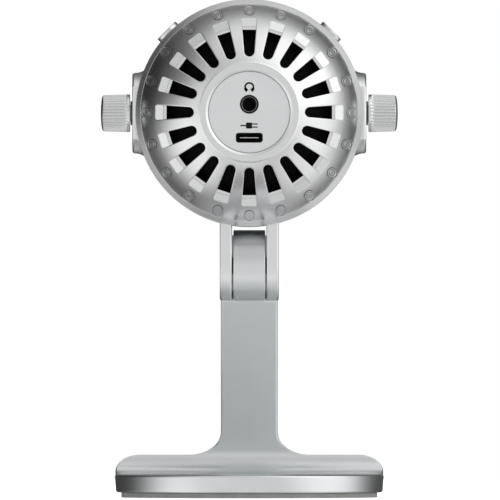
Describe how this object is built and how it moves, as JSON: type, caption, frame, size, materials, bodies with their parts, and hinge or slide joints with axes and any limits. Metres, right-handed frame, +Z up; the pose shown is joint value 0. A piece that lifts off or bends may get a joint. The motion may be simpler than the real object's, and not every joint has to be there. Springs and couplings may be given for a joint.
{
  "type": "desktop microphone",
  "caption": "Round desktop microphone head with a slotted rear dome, side knobs and top buttons, tilting on a leaning stand bent from one thick metal plate.",
  "frame": {"origin": "middle of the footprint, on the surface that the foot pad stands on", "axes": "+Z up; +Y towards the person who speaks; -Y towards the sockets on the back; +X to the right, seen from the back"},
  "size_m": [0.1044, 0.0946, 0.1751],
  "materials": {
    "satin_aluminium": "bead-blasted and clear anodised, satin silver",
    "bright_aluminium": "turned and clear anodised, brighter silver",
    "port_plate": "smooth pale silver paint",
    "steel": "plated steel",
    "grille_steel": "perforated steel sheet, silver",
    "bronze": "plain bearing bronze",
    "brass": "turned brass",
    "gold": "gold-sputtered film",
    "black_plastic": "moulded, matt black",
    "grey_plastic": "moulded, dark grey",
    "nylon": "filled nylon, dark grey",
    "board": "glass-fibre board, green resist",
    "foot_rubber": "matt grey rubber",
    "black_rubber": "soft black rubber",
    "black_mesh": "fine black acoustic mesh",
    "foam": "open-cell black foam"
  },
  "bodies": {
    "stand": {"stand_frame": "satin_aluminium", "foot_pad": "foot_rubber", "hinge_sleeve": "bronze"},
    "head": {"hinge_bolt": "steel", "spring_washer": "steel", "hinge_nut": "steel", "friction_washer_left": "nylon", "friction_washer_right": "nylon", "hinge_cap_left": "satin_aluminium", "hinge_cap_right": "satin_aluminium", "body_band": "satin_aluminium", "rear_dome": "satin_aluminium", "rear_mesh": "black_mesh", "port_plate": "port_plate", "usb_shell": "steel", "usb_tongue": "grey_plastic", "jack_bush": "black_plastic", "jack_socket": "black_plastic", "socket_board": "board", "front_rim": "satin_aluminium", "front_mesh": "grille_steel", "front_foam": "foam", "chassis": "grey_plastic", "chassis_screw_1": "steel", "chassis_screw_2": "steel", "chassis_screw_3": "steel", "main_board": "board", "capsule_cradle": "grey_plastic", "shock_ring": "black_rubber", "capsule_body": "brass", "diaphragm": "gold", "control_left": "steel", "control_right": "steel", "switch_left": "black_plastic", "switch_right": "black_plastic"},
    "knob_left": {"knob_left": "bright_aluminium", "shaft_left": "steel"},
    "knob_right": {"knob_right": "bright_aluminium", "shaft_right": "steel"},
    "button_left": {"button_left": "bright_aluminium"},
    "button_right": {"button_right": "bright_aluminium"}
  },
  "joints": [
    {"name": "head_tilt", "type": "hinge", "parent": "stand", "child": "head", "pos_m": [0, 0, 0.0816], "axis": [1, 0, 0], "range_deg": [-40, 45]},
    {"name": "left_knob_turn", "type": "hinge", "parent": "head", "child": "knob_left", "pos_m": [-0.047, 0, 0.1351], "axis": [-1, 0, 0], "range_deg": [-140, 140]},
    {"name": "right_knob_turn", "type": "hinge", "parent": "head", "child": "knob_right", "pos_m": [0.047, 0, 0.1351], "axis": [1, 0, 0], "range_deg": [-140, 140]},
    {"name": "left_button_press", "type": "slide", "parent": "head", "child": "button_left", "axis": [0.7071, 0, -0.7071], "range_m": [0, 0.0007], "stiffness_N_per_m": 600, "springref_m": -0.0002},
    {"name": "right_button_press", "type": "slide", "parent": "head", "child": "button_right", "axis": [-0.7071, 0, -0.7071], "range_m": [0, 0.0007], "stiffness_N_per_m": 600, "springref_m": -0.0002}
  ]
}
